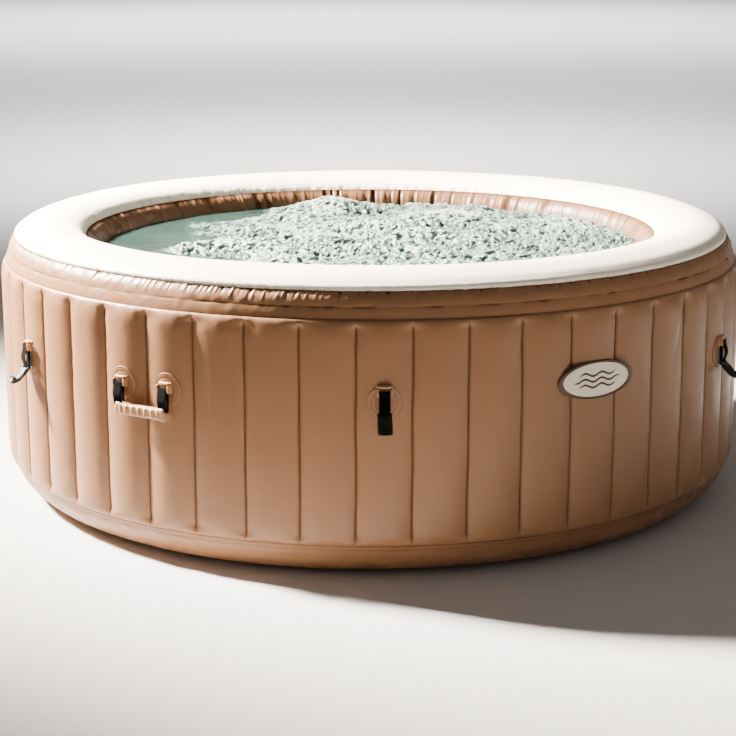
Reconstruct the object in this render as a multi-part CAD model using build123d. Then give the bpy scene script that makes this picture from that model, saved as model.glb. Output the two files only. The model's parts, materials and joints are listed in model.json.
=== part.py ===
"""Round inflatable hot tub: one ribbed ring of welded vinyl round an open basin.

Frame: millimetres, +Z up, origin on the ground at the centre of the tub, front buckle facing -Y.
Azimuths are degrees about +Z, counted from the front, so azimuth 90 faces +X and 180 faces +Y.
Hardware is drawn facing the front (-Y) and turned to its azimuth: there, `out` is the distance
from the tub's axis, `x` runs sideways and `z` upwards.
"""
from build123d import *
from math import cos, floor, radians, sin, sqrt
import os

# ---- driving dimensions ------------------------------------------------------------------
OUTER_RADIUS = 980.0        # crest of the ribs
HEIGHT = 710.0              # crest of the top ring
INNER_RADIUS = 716.0        # basin wall at mid height
RIB_COUNT = 48
WELD_RADIUS = 966.0         # the two ring welds that the ribs run between
LOWER_WELD_Z = 90.0
UPPER_WELD_Z = 610.0
OUTER_SEAM = (941.0, 670.0)  # top ring meets the shoulder band
INNER_SEAM = (755.0, 665.0)  # top ring meets the basin wall
FOOT_RADIUS = 844.0         # where the lower band leaves the ground
BASIN_FOOT_RADIUS = 738.0   # where the basin wall meets the ground
CREST_RADIUS = 866.0        # highest line of the top ring
FOOT_BULGE = (923.0, 28.0)  # middle points of the section's curves, from the foot up and over
SHOULDER_BULGE = (957.0, 642.0)
OUTER_CUSHION = (912.0, 698.0)
INNER_CUSHION = (803.0, 701.0)
BASIN_LIP = (729.0, 618.0)
BASIN_FOOT_BULGE = (719.0, 50.0)
BASIN_STRAIGHT = (120.0, 560.0)  # heights between which the basin wall is upright
BASIN_LEAN = 1.0            # how much wider the basin is at the top of that
INSIDE_CUT = 690.0          # cutters through the wall run from inside the basin
OUTSIDE_CUT = 1000.0        # to outside the ribs
BETWEEN_WALLS = 900.0       # a radius well inside the outer wall
FLOOR_RADIUS = 735.0
BASIN_EDGE = 760.0          # the basin wall's sheet ends here, under the wall and at its top seam
SKIN = 2.0
SLACK = 0.3                 # gap left between pieces that only lie against each other

BUCKLE_AZIMUTHS = [60 * i for i in range(6)]
HANDLE_AZIMUTHS = [-33.75, 146.25]
BADGE_AZIMUTH = 30.0
PORT_AZIMUTH = 180.0
VALVE_AZIMUTH = 210.0
DRAIN_AZIMUTH = 150.0

RIB_PITCH = 360 / RIB_COUNT
PANEL_RIBS = 3              # each ring skin is divided into panels of three ribs
PANEL_COUNT = RIB_COUNT // PANEL_RIBS
PANEL_SWEEP = PANEL_RIBS * RIB_PITCH
PORT_PANEL_START = PORT_AZIMUTH - PANEL_SWEEP / 2

RIB_ARC_RADIUS = 135.8      # plan radius of one rib's bulge
RIB_ARC_CENTRE = OUTER_RADIUS - RIB_ARC_RADIUS

BEAM_THICKNESS = 0.8
WEBBING_THICKNESS = 1.5
WEBBING_WIDTH = 25.0
BAR_RADIUS = 3.0
BAR_OUT = OUTER_RADIUS + 10.5

PATCH_RADIUS = 40.0
PATCH_THICKNESS = 1.5
PATCH_Z = 427.0
BUCKLE_BAR_Z = 450.0
STRAP_DROP = 48.0           # holder bar to the buckle's own bar
BUCKLE_SIZE = (33.0, 11.5, 50.0)
BUCKLE_BAR_RADIUS = 2.2
BUCKLE_NECK = 6.0           # buckle bar to the top of the socket
BUCKLE_KICK = 45.0          # degrees that the stiff webbing holds the buckle out from the wall
MOUTH_SIZE = (24.0, 7.6)
MOUTH_DEPTH = 34.0
LATCH_WINDOW = (14.0, 30.0)  # the side windows' span below the top of the socket
LATCH_WINDOW_HALF = 2.5
CHEEK_HALF = 3.2            # half the depth of the buckle's cheeks
HOLDER_FACE = OUTER_RADIUS + 4.5
HOLDER_FOOT = OUTER_RADIUS - 12
HOLDER_CHEEK = 4.0

HANDLE_BAR_Z = 430.0
HANDLE_PATCH_Z = 428.0
HANDLE_HALF_SPAN = OUTER_RADIUS * sin(radians(RIB_PITCH / 2))
GRIP_Z = 372.0
GRIP_LENGTH = 142.0
GRIP_HEIGHT = 32.0
GRIP_DEPTH = 19.0
GRIP_BACK = BAR_OUT - 8
GRIP_ROUNDING = 5.0
GRIP_RIDGE = 5.5            # radius of the finger ridges

PORT_Z = 200.0
AIR_PORT_Z = 300.0
PORT_BORE = 19.0
DUCT_BORE = 17.5
PORT_THREAD = 30.0
PORT_FLANGE = 38.0
PORT_SPIGOT = 28.0
DUCT_WALL = 2.0

BUBBLE_DUCT_RADIUS = 680.0
BUBBLE_DUCT_HALF = 20.0
BUBBLE_DUCT_HEIGHT = 18.0
JET_COUNT = 96
JET_RADIUS = 1.5

VALVE_Z = 500.0
VALVE_BORE = 15.0
VALVE_WALL = 4.0
VALVE_MOUTH = OUTER_RADIUS + 8
VALVE_CAP_RISE = 25.0       # mouth's centre to the cap's pin
VALVE_CAP_RADIUS = 19.0
VALVE_CAP_PLUG = 12.0
VALVE_BACK = OUTER_RADIUS - 22
VALVE_STEP = VALVE_MOUTH - 18  # where the nozzle's bore narrows to the air passage
VALVE_PASSAGE = 12.0
VALVE_STEM = 3.0
DRAIN_Z = 46.0
DRAIN_THREAD = 13.3
DRAIN_BORE = 10.0
DRAIN_MOUTH = OUTER_RADIUS + 12
DRAIN_CAP_RISE = 22.0
DRAIN_CAP_RADIUS = 14.0
DRAIN_CAP_PLUG = 7.5
DRAIN_FLANGE = 25.0
CAP_PIN = 1.5
CAP_PLAY = 0.08             # radial running clearance on the pins and the plunger's stem
CAP_ARM = 8.0
CAP_PIN_OUT = 2.0           # how far the cap's pin stands out from its mouth
CAP_PLATE = 3.5
CAP_KNUCKLE = 3.2

RISER_RADIUS = 9.0
RISER_FOOT_Z = 14.0
RISER_BEND = 45.0

BADGE_LENGTH = 216.0
BADGE_HEIGHT = 90.0
BADGE_Z = 445.0
BADGE_RIM = 9.0


# ---- helpers -----------------------------------------------------------------------------
def turned(shape, azimuth):
    """The shape, drawn facing the front, turned to an azimuth."""
    return Rot(0, 0, azimuth) * shape


def rod(radius, out_from, out_to, x=0.0, z=0.0):
    """A cylinder along the front's outward direction."""
    return Pos(x, -(out_from + out_to) / 2, z) * Rot(90, 0, 0) * Cylinder(radius, out_to - out_from)


def tube(outer, inner, out_from, out_to, x=0.0, z=0.0):
    return rod(outer, out_from, out_to, x, z) - rod(inner, out_from - 1, out_to + 1, x, z)


def block(x_size, out_from, out_to, z_from, z_to, x=0.0):
    """A box between two distances out and two heights."""
    size = (x_size, out_to - out_from, z_to - z_from)
    return Pos(x, -(out_from + out_to) / 2, (z_from + z_to) / 2) * Box(*size)


def bar(radius, length, out, z, x=0.0):
    """A cylinder lying sideways."""
    return Pos(x, -out, z) * Rot(0, 90, 0) * Cylinder(radius, length)


def group(shapes):
    """Separate solids that share one node."""
    return Compound(children=[solid for shape in shapes for solid in shape.solids()])


def band_face(low_r, high_r, low_z, high_z):
    """A rectangle in the section plane, used to cut the wall's section."""
    centre = ((low_r + high_r) / 2, (low_z + high_z) / 2)
    return Plane.XZ * (Pos(*centre) * Rectangle(high_r - low_r, high_z - low_z))


def panels(face):
    """A section revolved into the ring's panels. The first one carries the ports."""
    piece = turned(revolve(face, Axis.Z, PANEL_SWEEP), PORT_PANEL_START - 90)
    return [turned(piece, i * PANEL_SWEEP) for i in range(PANEL_COUNT)]


def cut_near(shapes, cutter, azimuth):
    """The shapes, cut only where the cutter's azimuth lies in their panel or at its edge."""
    index = (azimuth - PORT_PANEL_START) / PANEL_SWEEP
    hit = {floor(index - 0.1) % PANEL_COUNT, floor(index + 0.1) % PANEL_COUNT}
    return [shape - cutter if i in hit else shape for i, shape in enumerate(shapes)]


# ---- the wall's section ------------------------------------------------------------------
def wall_section():
    """The closed skin of the air ring, as a thin loop in the section plane (r, z)."""
    flat_bottom = (BASIN_FOOT_RADIUS, 0), (FOOT_RADIUS, 0)
    crest = (CREST_RADIUS, HEIGHT)
    wall_foot = (INNER_RADIUS, BASIN_STRAIGHT[0])
    wall_top = (INNER_RADIUS + BASIN_LEAN, BASIN_STRAIGHT[1])
    loop = [
        Line(*flat_bottom),
        ThreePointArc((FOOT_RADIUS, 0), FOOT_BULGE, (WELD_RADIUS, LOWER_WELD_Z)),
        Line((WELD_RADIUS, LOWER_WELD_Z), (WELD_RADIUS, UPPER_WELD_Z)),
        ThreePointArc((WELD_RADIUS, UPPER_WELD_Z), SHOULDER_BULGE, OUTER_SEAM),
        ThreePointArc(OUTER_SEAM, OUTER_CUSHION, crest),
        ThreePointArc(crest, INNER_CUSHION, INNER_SEAM),
        ThreePointArc(INNER_SEAM, BASIN_LIP, wall_top),
        Line(wall_top, wall_foot),
        ThreePointArc(wall_foot, BASIN_FOOT_BULGE, (BASIN_FOOT_RADIUS, 0)),
    ]
    outside = make_face(Curve() + loop)
    skin = outside - offset(outside, -SKIN)
    return Plane.XZ * skin


# ---- ribbed outer wall -------------------------------------------------------------------
def rib_sector(rib_count, shrink):
    """Plan outline of some ribs, from the first weld to the last, filled in well behind them."""
    half = radians(RIB_PITCH / 2)
    arc = RIB_ARC_RADIUS - shrink
    weld = RIB_ARC_CENTRE * cos(half) + sqrt(arc**2 - (RIB_ARC_CENTRE * sin(half)) ** 2)
    crest = OUTER_RADIUS - shrink
    fill = BETWEEN_WALLS

    def at(radius, step):
        angle = step * half
        return (radius * sin(angle), -radius * cos(angle))

    edges = [
        ThreePointArc(at(weld, 2 * i), at(crest, 2 * i + 1), at(weld, 2 * i + 2))
        for i in range(rib_count)
    ]
    end = 2 * rib_count
    edges += [
        Line(at(weld, end), at(fill, end)),
        ThreePointArc(at(fill, end), at(fill, end / 2), at(fill, 0)),
        Line(at(fill, 0), at(weld, 0)),
    ]
    return make_face(Curve() + edges)


def rib_envelope(shrink):
    """The drum that rounds the ribs off where they run into the ring welds."""
    full = OUTER_RADIUS + 4 - shrink
    weld = WELD_RADIUS - shrink
    rounding = 45.0
    low, high = LOWER_WELD_Z, UPPER_WELD_Z
    bulge = full - (full - weld) * 0.25
    edges = [
        Line((0, low), (weld, low)),
        ThreePointArc((weld, low), (bulge, low + rounding * 0.35), (full, low + rounding)),
        Line((full, low + rounding), (full, high - rounding)),
        ThreePointArc((full, high - rounding), (bulge, high - rounding * 0.35), (weld, high)),
        Line((weld, high), (0, high)),
        Line((0, high), (0, low)),
    ]
    return revolve(Plane.XZ * make_face(Curve() + edges), Axis.Z)


def ribbed_panel(rib_count):
    """One welded panel of the outer wall, starting at azimuth 0 and turning counter-clockwise."""
    tall = UPPER_WELD_Z - LOWER_WELD_Z

    def drum(shrink):
        prism = extrude(Pos(0, 0, LOWER_WELD_Z) * rib_sector(rib_count, shrink), tall, dir=(0, 0, 1))
        return prism & rib_envelope(shrink)

    return drum(0) - drum(SKIN)


def outer_walls():
    """The ribbed wall's panels, the port panel first, with holes for the ports and the valve."""
    plain = ribbed_panel(PANEL_RIBS)
    walls = [turned(plain, PORT_PANEL_START + i * PANEL_SWEEP) for i in range(PANEL_COUNT)]
    valve_hole = turned(
        rod(VALVE_BORE + VALVE_WALL + SLACK, BETWEEN_WALLS, OUTSIDE_CUT, z=VALVE_Z), VALVE_AZIMUTH)
    walls = cut_near(walls, valve_hole, VALVE_AZIMUTH)
    return [walls[0] - port_holes(), *walls[1:]]


def port_holes():
    """The cutters for the two water ducts and the air riser, through both walls."""
    hole = DUCT_BORE + DUCT_WALL + SLACK
    cutters = [turned(rod(hole, INSIDE_CUT, OUTSIDE_CUT, z=PORT_Z), az) for az in water_azimuths()]
    cutters.append(turned(rod(hole, BETWEEN_WALLS, OUTSIDE_CUT, z=AIR_PORT_Z), PORT_AZIMUTH))
    return cutters


def water_azimuths():
    return [PORT_AZIMUTH - RIB_PITCH, PORT_AZIMUTH + RIB_PITCH]


def wall_beams():
    """The upright webs that tie the two walls together, one behind each rib weld."""
    outer, inner = WELD_RADIUS - SKIN - 1, INNER_RADIUS + SKIN + 1.5
    web = block(BEAM_THICKNESS, inner, outer, LOWER_WELD_Z + 20, BASIN_STRAIGHT[1])
    return [turned(web, (i + 0.5) * RIB_PITCH) for i in range(RIB_COUNT)]


# ---- buckles -----------------------------------------------------------------------------
def patch(z):
    """A round welded patch that follows the rib it sits on."""
    low = RIB_ARC_RADIUS + SLACK
    tall = 2 * PATCH_RADIUS + 10
    shell = Pos(0, -RIB_ARC_CENTRE, z) * (
        Cylinder(low + PATCH_THICKNESS, tall) - Cylinder(low, tall)
    )
    return shell & rod(PATCH_RADIUS, RIB_ARC_CENTRE + 50, OUTER_RADIUS + 20, z=z)


def holder(bar_z, x=0.0):
    """The moulded bar holder on a patch: foot plate, two cheeks and the bar between them."""
    cheek = HOLDER_CHEEK
    inside = WEBBING_WIDTH / 2 + 1
    plate = block(2 * (inside + cheek), HOLDER_FOOT, HOLDER_FACE, bar_z - 9, bar_z + 17, x=x)
    cheeks = [
        block(cheek, HOLDER_FOOT, BAR_OUT + 4.5, bar_z - 5, bar_z + 9, x=x + side * (inside + cheek / 2))
        for side in (-1, 1)
    ]
    lip = block(2 * inside, HOLDER_FACE, BAR_OUT - 1, bar_z + 11, bar_z + 15, x=x)
    pin = bar(BAR_RADIUS, 2 * inside + cheek, BAR_OUT, bar_z, x=x)
    under = Cylinder(RIB_ARC_RADIUS + PATCH_THICKNESS + 2 * SLACK, 200)
    rib = round(x / HANDLE_HALF_SPAN) * RIB_PITCH / 2
    return plate + cheeks + lip + pin - turned(Pos(0, -RIB_ARC_CENTRE, bar_z) * under, rib)


def webbing(top_z, bottom_z, lower_bar=None, x=0.0):
    """Webbing folded over a bar and hanging as two plies, over a lower bar too if it has one."""
    half = WEBBING_THICKNESS
    shape = block(WEBBING_WIDTH, BAR_OUT - half, BAR_OUT + half, bottom_z, top_z, x=x)
    folds = [(BAR_RADIUS, top_z)]
    if lower_bar:
        folds.append((lower_bar, bottom_z))
    for radius, z in folds:
        shape = shape + bar(radius + SLACK + WEBBING_THICKNESS, WEBBING_WIDTH, BAR_OUT, z, x=x)
    for radius, z in folds:
        shape = shape - bar(radius + SLACK, WEBBING_WIDTH + 2, BAR_OUT, z, x=x)
    return shape


def buckle():
    """The socket half of a side-release buckle, on its bar in the webbing's lower fold."""
    wide, thick, tall = BUCKLE_SIZE
    bar_z = BUCKLE_BAR_Z - STRAP_DROP
    top = bar_z - BUCKLE_NECK
    low, high = BAR_OUT - thick / 2, BAR_OUT + thick / 2
    cheek = (wide - WEBBING_WIDTH) / 2 - 0.5
    cheeks = [
        block(cheek, BAR_OUT - CHEEK_HALF, BAR_OUT + CHEEK_HALF, top - 1, bar_z + CHEEK_HALF,
              x=side * (wide - cheek) / 2)
        for side in (-1, 1)
    ]
    body = block(wide, low, high, top - tall, top)
    body = fillet(body.edges().filter_by(Axis.Z), 2.5)
    mouth = block(MOUTH_SIZE[0], BAR_OUT - MOUTH_SIZE[1] / 2, BAR_OUT + MOUTH_SIZE[1] / 2,
                  top - tall - 1, top - tall + MOUTH_DEPTH)
    window = block(wide + 2, BAR_OUT - LATCH_WINDOW_HALF, BAR_OUT + LATCH_WINDOW_HALF,
                   top - LATCH_WINDOW[1], top - LATCH_WINDOW[0])
    body = body - mouth - window + cheeks + bar(BUCKLE_BAR_RADIUS, wide - cheek, BAR_OUT, bar_z)
    pivot = Pos(0, -BAR_OUT, bar_z)
    return pivot * Rot(-BUCKLE_KICK, 0, 0) * pivot.inverse() * body


# ---- handles -----------------------------------------------------------------------------
def handle_patches():
    return [turned(patch(HANDLE_PATCH_Z), side * RIB_PITCH / 2) for side in (-1, 1)]


def handle_holders():
    """Both holders face the same way, so that their bars share one line."""
    return [holder(HANDLE_BAR_Z, side * HANDLE_HALF_SPAN) for side in (-1, 1)]


def handle_webbing():
    grip_top = GRIP_Z + GRIP_HEIGHT / 2
    return [webbing(HANDLE_BAR_Z, grip_top, x=side * HANDLE_HALF_SPAN) for side in (-1, 1)]


def grip():
    """The moulded hand grip, with finger ridges on its face."""
    body = block(GRIP_LENGTH, GRIP_BACK, GRIP_BACK + GRIP_DEPTH,
                 GRIP_Z - GRIP_HEIGHT / 2, GRIP_Z + GRIP_HEIGHT / 2)
    body = fillet(body.edges(), GRIP_ROUNDING)
    ridge_out = GRIP_BACK + GRIP_DEPTH - 2
    pitch = GRIP_LENGTH / 6
    ridges = [Pos(i * pitch, -ridge_out, GRIP_Z) * Sphere(GRIP_RIDGE) for i in (-2, -1, 0, 1, 2)]
    return body + ridges


# ---- ports, ducts and bubble ring --------------------------------------------------------
def port_fitting(z):
    """A flange with an open threaded spigot that a hose union screws on to."""
    flange = rod(PORT_FLANGE, OUTER_RADIUS + 1, OUTER_RADIUS + 5, z=z)
    spigot = rod(PORT_THREAD, OUTER_RADIUS + 5, OUTER_RADIUS + 5 + PORT_SPIGOT, z=z)
    return flange + spigot - rod(PORT_BORE, OUTER_RADIUS - 5, OUTER_RADIUS + 50, z=z)


def port_gasket(z):
    """The soft washer that fills in between the rib's curve and the flat flange."""
    ring = tube(PORT_FLANGE - 2, DUCT_BORE + DUCT_WALL + SLACK, OUTER_RADIUS - 14, OUTER_RADIUS + 1, z=z)
    rib = Pos(0, -RIB_ARC_CENTRE, z) * Cylinder(RIB_ARC_RADIUS + SLACK, 120)
    return ring - rib


def water_duct():
    return tube(DUCT_BORE + DUCT_WALL, DUCT_BORE, INNER_RADIUS - 2, OUTER_RADIUS + 1, z=PORT_Z)


def air_riser():
    """The pipe that leads air from its port down inside the wall and under it to the bubble duct."""
    middle = 850.0
    neck = OUTER_RADIUS - 40
    reach = BUBBLE_DUCT_RADIUS + BUBBLE_DUCT_HALF + SLACK
    bore = RISER_RADIUS - DUCT_WALL
    outer = DUCT_BORE + DUCT_WALL
    path = FilletPolyline(
        (0, -neck, AIR_PORT_Z), (0, -middle, AIR_PORT_Z),
        (0, -middle, RISER_FOOT_Z), (0, -(reach + 10), RISER_FOOT_Z), radius=RISER_BEND)
    ring = Plane(path @ 0, z_dir=path % 0) * (Circle(RISER_RADIUS) - Circle(bore))
    plate = tube(outer, bore, neck, neck + 4, z=AIR_PORT_Z)
    socket = tube(outer, DUCT_BORE, neck + 4, OUTER_RADIUS + 1, z=AIR_PORT_Z)
    return sweep(ring, path=path) + plate + socket


def strainer():
    """The slotted cover over a duct's mouth, on the basin side."""
    face = INNER_RADIUS - 6
    cup_radius = 33.0
    cup_depth = 14.0
    cup_wall = 2.5
    slot, slot_pitch, slot_half = 3.0, 7.0, 24.0
    flange = tube(cup_radius + 7, DUCT_BORE + DUCT_WALL + SLACK, face, face + 3, z=PORT_Z)
    hollow = rod(cup_radius - cup_wall, face - cup_depth + cup_wall, face + 1, z=PORT_Z)
    cup = rod(cup_radius, face - cup_depth, face, z=PORT_Z) - hollow
    slots = [
        block(slot, face - cup_depth - 2, face - 3, PORT_Z - slot_half, PORT_Z + slot_half, x=slot_pitch * i)
        for i in range(-3, 4)
    ]
    return flange + cup - slots


def bubble_panels():
    """The perforated air duct that lies round the foot of the basin."""
    wide, tall = 2 * BUBBLE_DUCT_HALF, BUBBLE_DUCT_HEIGHT
    lift = SKIN + SLACK
    middle = Pos(BUBBLE_DUCT_RADIUS, lift + tall / 2)
    hollow = middle * Rectangle(wide - 2 * SKIN, tall - 2 * SKIN)
    section = Plane.XZ * (middle * Rectangle(wide, tall) - hollow)
    pitch = 360 / JET_COUNT
    jets = [
        Rot(0, 0, (i + 0.5) * pitch) * Pos(BUBBLE_DUCT_RADIUS, 0, lift + tall)
        * Cylinder(JET_RADIUS, 3 * SKIN)
        for i in range(JET_COUNT // PANEL_COUNT)
    ]
    piece = revolve(section, Axis.Z, PANEL_SWEEP) - jets
    return [turned(piece, i * PANEL_SWEEP) for i in range(PANEL_COUNT)]


# ---- inflation valve ---------------------------------------------------------------------
def cap_lug(mouth, z, rise):
    """The lug above a mouth that carries a flip cap's pin."""
    out = mouth + CAP_PIN_OUT
    cheek = 2.5
    wide = CAP_ARM + 2 * (cheek + SLACK)
    cheeks = [
        block(cheek, mouth - 5, out + 3, z + rise - 3, z + rise + 3, x=side * (wide - cheek) / 2)
        for side in (-1, 1)
    ]
    root = block(wide, mouth - 7, mouth - 3, z + rise - 9, z + rise + 3)
    return [root, *cheeks, bar(CAP_PIN, wide, out, z + rise)]


def flip_cap(mouth, z, rise, radius, plug):
    """A cap that swings about the pin above its mouth, with a short plug that enters the bore."""
    out = mouth + CAP_PIN_OUT
    low = mouth + SLACK
    disc = rod(radius, low, low + CAP_PLATE, z=z) + rod(plug, mouth - CAP_PLATE, low, z=z)
    arm = block(CAP_ARM, low, low + CAP_PLATE, z, z + rise)
    knuckle = bar(CAP_KNUCKLE, CAP_ARM, out, z + rise)
    return disc + arm + knuckle - bar(CAP_PIN + CAP_PLAY, CAP_ARM + 2, out, z + rise)


def valve_body():
    outer = VALVE_BORE + VALVE_WALL
    flange = (OUTER_RADIUS + 2, OUTER_RADIUS + 4.5)
    body = rod(outer, VALVE_BACK, VALVE_MOUTH, z=VALVE_Z) + rod(outer + 7, *flange, z=VALVE_Z)
    body = body - rod(VALVE_BORE, VALVE_STEP, VALVE_MOUTH + 1, z=VALVE_Z)
    body = body - rod(VALVE_PASSAGE, VALVE_BACK - 8, VALVE_STEP + 1, z=VALVE_Z)
    return body + cap_lug(VALVE_MOUTH, VALVE_Z, VALVE_CAP_RISE)


def valve_plunger():
    """The spring-closed disc behind the valve's seat, with its stem."""
    back = VALVE_BACK - SLACK
    head = rod(VALVE_BORE, back - 3, back, z=VALVE_Z)
    return head + rod(VALVE_STEM, back, VALVE_STEP - 1, z=VALVE_Z)


def valve_spider():
    """The three-armed guide inside the seat that the plunger's stem slides in."""
    out_from, out_to = VALVE_BACK + 3, VALVE_BACK + 6
    ring_inside, hub_outside = 10.0, 5.0
    ring = tube(VALVE_PASSAGE - 0.05, ring_inside, out_from, out_to, z=VALVE_Z)
    hub = tube(hub_outside, VALVE_STEM + CAP_PLAY, out_from, out_to, z=VALVE_Z)
    arm = block(2, out_from, out_to, hub_outside - 1, ring_inside + 0.5)
    arms = [Pos(0, 0, VALVE_Z) * Rot(0, 120 * i, 0) * arm for i in range(3)]
    return ring + hub + arms


# ---- drain -------------------------------------------------------------------------------
def drain_body():
    """The outlet pipe through the foot of the wall, with its flange, thread and cap lug."""
    pipe = rod(DRAIN_THREAD, INNER_RADIUS - 2, DRAIN_MOUTH, z=DRAIN_Z)
    flange = rod(DRAIN_FLANGE, OUTER_RADIUS - 12, OUTER_RADIUS - 8, z=DRAIN_Z)
    post = block(13 + 2 * SLACK, OUTER_RADIUS - 12, DRAIN_MOUTH - 3, DRAIN_Z + 19, DRAIN_Z + 25)
    lug = cap_lug(DRAIN_MOUTH, DRAIN_Z, DRAIN_CAP_RISE)
    bore = rod(DRAIN_BORE, INNER_RADIUS - 10, DRAIN_MOUTH + 1, z=DRAIN_Z)
    return pipe + flange + post + lug - bore


def drain_plug():
    """The stopper pulled out of the basin end of the outlet pipe."""
    back = INNER_RADIUS - 2 - SLACK
    head = rod(15, back - 5, back, z=DRAIN_Z)
    ring = block(4, back - 15, back - 5, DRAIN_Z - 6, DRAIN_Z + 6)
    return head + ring + rod(DRAIN_BORE - 0.1, back, back + 14, z=DRAIN_Z)


def drain_hole():
    return turned(rod(DRAIN_THREAD + SLACK, INSIDE_CUT, OUTSIDE_CUT, z=DRAIN_Z), DRAIN_AZIMUTH)


# ---- badge -------------------------------------------------------------------------------
def badge(grow, out_from, out_to):
    """An oval plaque bent to the tub's curve."""
    shell = Pos(0, 0, BADGE_Z) * (Cylinder(out_to, 200) - Cylinder(out_from, 200))
    oval = Ellipse(BADGE_LENGTH / 2 + grow, BADGE_HEIGHT / 2 + grow)
    prism = extrude(Plane.XZ.offset(900) * Pos(0, BADGE_Z) * oval, 120)
    return turned(shell & prism, BADGE_AZIMUTH)


# ---- everything --------------------------------------------------------------------------
def build():
    nodes = {}
    section = wall_section()
    shoulder_cut = band_face(CREST_RADIUS, OUTSIDE_CUT, UPPER_WELD_Z, OUTER_SEAM[1])
    above_seams = band_face(INSIDE_CUT, OUTSIDE_CUT, INNER_SEAM[1], HEIGHT + 1)
    lower = panels(section & band_face(FOOT_RADIUS, OUTSIDE_CUT, -1, LOWER_WELD_Z))
    basin = panels(section & band_face(INSIDE_CUT, BASIN_EDGE, -1, INNER_SEAM[1]))
    riser_hole = turned(rod(RISER_RADIUS + SLACK, INSIDE_CUT, 800, z=RISER_FOOT_Z), PORT_AZIMUTH)
    basin = cut_near(basin, drain_hole(), DRAIN_AZIMUTH)
    walls = outer_walls()
    nodes["lower_band"] = cut_near(lower, drain_hole(), DRAIN_AZIMUTH)
    nodes["shoulder_band"] = panels(section & shoulder_cut)
    nodes["top_ring"] = panels(section & (above_seams - shoulder_cut))
    nodes["base_ring"] = panels(section & band_face(BASIN_EDGE, FOOT_RADIUS, -1, LOWER_WELD_Z))
    nodes["inner_wall"] = basin[1:]
    nodes["inner_port_panel"] = [basin[0] - port_holes() - riser_hole]
    nodes["outer_wall"] = walls[1:]
    nodes["port_panel"] = walls[:1]
    nodes["wall_beams"] = wall_beams()
    nodes["floor_sheet"] = [Pos(0, 0, SKIN / 2) * Cylinder(FLOOR_RADIUS, SKIN)]

    nodes["bubble_duct"] = bubble_panels()
    nodes["air_riser"] = [turned(air_riser(), PORT_AZIMUTH)]
    nodes["air_fitting"] = [turned(port_fitting(AIR_PORT_Z), PORT_AZIMUTH)]
    for name, az in zip(("inlet", "outlet"), water_azimuths()):
        nodes[f"water_{name}_fitting"] = [turned(port_fitting(PORT_Z), az)]
        nodes[f"{name}_strainer"] = [turned(strainer(), az)]
    nodes["water_ducts"] = [turned(water_duct(), az) for az in water_azimuths()]
    nodes["port_gaskets"] = [turned(port_gasket(PORT_Z), az) for az in water_azimuths()]
    nodes["port_gaskets"].append(turned(port_gasket(AIR_PORT_Z), PORT_AZIMUTH))

    valve_cap = flip_cap(VALVE_MOUTH, VALVE_Z, VALVE_CAP_RISE, VALVE_CAP_RADIUS, VALVE_CAP_PLUG)
    drain_cap = flip_cap(DRAIN_MOUTH, DRAIN_Z, DRAIN_CAP_RISE, DRAIN_CAP_RADIUS, DRAIN_CAP_PLUG)
    nodes["valve_body"] = [turned(valve_body(), VALVE_AZIMUTH)]
    nodes["valve_spider"] = [turned(valve_spider(), VALVE_AZIMUTH)]
    nodes["valve_plunger"] = [turned(valve_plunger(), VALVE_AZIMUTH)]
    nodes["valve_cap"] = [turned(valve_cap, VALVE_AZIMUTH)]
    nodes["drain_body"] = [turned(drain_body(), DRAIN_AZIMUTH)]
    nodes["drain_cap"] = [turned(drain_cap, DRAIN_AZIMUTH)]
    nodes["drain_plug"] = [turned(drain_plug(), DRAIN_AZIMUTH)]

    window = badge(-BADGE_RIM, OUTER_RADIUS, OUTER_RADIUS + 4)
    nodes["badge_rim"] = [badge(0, OUTER_RADIUS + 1, OUTER_RADIUS + 2.6) - window]
    nodes["badge_plate"] = [badge(-BADGE_RIM - SLACK, OUTER_RADIUS + 1, OUTER_RADIUS + 2.2)]

    nodes["buckle_patches"] = [turned(patch(PATCH_Z), az) for az in BUCKLE_AZIMUTHS]
    nodes["buckle_holders"] = [turned(holder(BUCKLE_BAR_Z), az) for az in BUCKLE_AZIMUTHS]
    strap = webbing(BUCKLE_BAR_Z, BUCKLE_BAR_Z - STRAP_DROP, BUCKLE_BAR_RADIUS)
    for i, az in enumerate(BUCKLE_AZIMUTHS, 1):
        nodes[f"buckle_webbing_{i}"] = [turned(strap, az)]
        nodes[f"buckle_{i}"] = [turned(buckle(), az)]
    for i, az in enumerate(HANDLE_AZIMUTHS, 1):
        nodes[f"handle_patches_{i}"] = [turned(p, az) for p in handle_patches()]
        nodes[f"handle_holders_{i}"] = [turned(p, az) for p in handle_holders()]
        nodes[f"handle_webbing_{i}"] = [turned(p, az) for p in handle_webbing()]
        nodes[f"handle_grip_{i}"] = [turned(grip(), az)]
    return nodes


def main():
    os.makedirs("parts", exist_ok=True)
    for name, shapes in build().items():
        export_step(group(shapes), f"parts/{name}.step")


main()
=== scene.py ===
"""Looks of the inflatable hot tub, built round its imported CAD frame. Metres, +Z up, front at -Y.

Azimuths are radians about +Z counted from the front (-Y), positive towards +X. Hardware is drawn
facing the front, where a point is (x, -out, z), and is then turned to its azimuth.
"""
import json
from math import atan2, cos, hypot, pi, radians, sin, tau

import bmesh
import bpy
import numpy as np
from mathutils import Matrix, Vector, noise


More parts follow.
